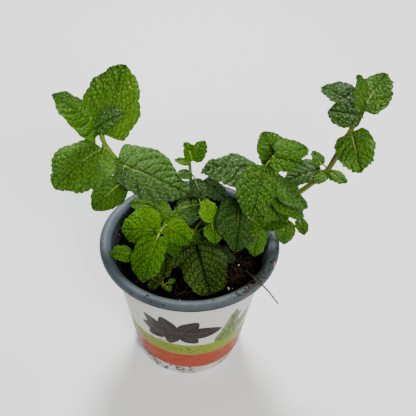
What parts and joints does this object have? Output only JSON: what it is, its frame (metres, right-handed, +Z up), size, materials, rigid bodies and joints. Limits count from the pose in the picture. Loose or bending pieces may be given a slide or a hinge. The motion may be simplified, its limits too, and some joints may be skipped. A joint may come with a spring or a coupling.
{
  "type": "potted mint plant",
  "caption": "Leafy herb plant rooted in dark potting soil in a thin tapered plastic nursery pot with a rolled rim and drain holes.",
  "frame": {"origin": "centre of the flat pad in the middle of the pot's underside, on the surface the pot stands on", "axes": "+Z up along the pot's axis; the plant's fuller side faces -Y; the tallest shoot leans towards +X"},
  "size_m": [0.2059, 0.12, 0.228],
  "materials": {
    "pot_plastic": "satin thin polypropylene, slate grey rim and inside, off-white printed wall",
    "soil": "damp near-black peat with fine brown fibres",
    "dry_fibre": "dry dull brown",
    "stem": "fleshy pale to brownish green, slightly hairy",
    "leaf": "soft satin green with a puckered surface"
  },
  "bodies": {
    "root": {"pot": "pot_plastic", "soil": "soil", "dry_root": "dry_fibre", "stem_left": "stem", "leaf_left_1": "leaf", "leaf_left_2": "leaf", "leaf_left_3": "leaf", "leaf_left_4": "leaf", "leaf_left_5": "leaf", "leaf_left_6": "leaf", "leaf_left_7": "leaf", "stem_back": "stem", "leaf_back_1": "leaf", "leaf_back_2": "leaf", "leaf_back_3": "leaf", "stem_right": "stem", "leaf_right_1": "leaf", "leaf_right_2": "leaf", "leaf_right_3": "leaf", "leaf_right_4": "leaf", "leaf_right_5": "leaf", "leaf_right_6": "leaf", "leaf_right_7": "leaf", "leaf_right_8": "leaf", "stem_far_right": "stem", "leaf_far_right_1": "leaf", "leaf_far_right_2": "leaf", "leaf_far_right_3": "leaf", "leaf_far_right_4": "leaf", "leaf_far_right_5": "leaf", "leaf_far_right_6": "leaf", "leaf_far_right_7": "leaf", "stem_front": "stem", "leaf_front_1": "leaf", "leaf_front_2": "leaf", "leaf_front_3": "leaf", "leaf_front_4": "leaf", "leaf_front_5": "leaf", "stem_centre": "stem", "leaf_centre_1": "leaf", "leaf_centre_2": "leaf", "stem_low": "stem", "leaf_low_1": "leaf", "leaf_low_2": "leaf", "stem_inner": "stem", "leaf_inner_1": "leaf", "leaf_inner_2": "leaf", "leaf_inner_3": "leaf", "stem_over_rim": "stem", "leaf_over_rim_1": "leaf", "leaf_over_rim_2": "leaf", "stem_sprout_left": "stem", "leaf_sprout_left_1": "leaf", "stem_sprout_front": "stem"}
  },
  "joints": []
}
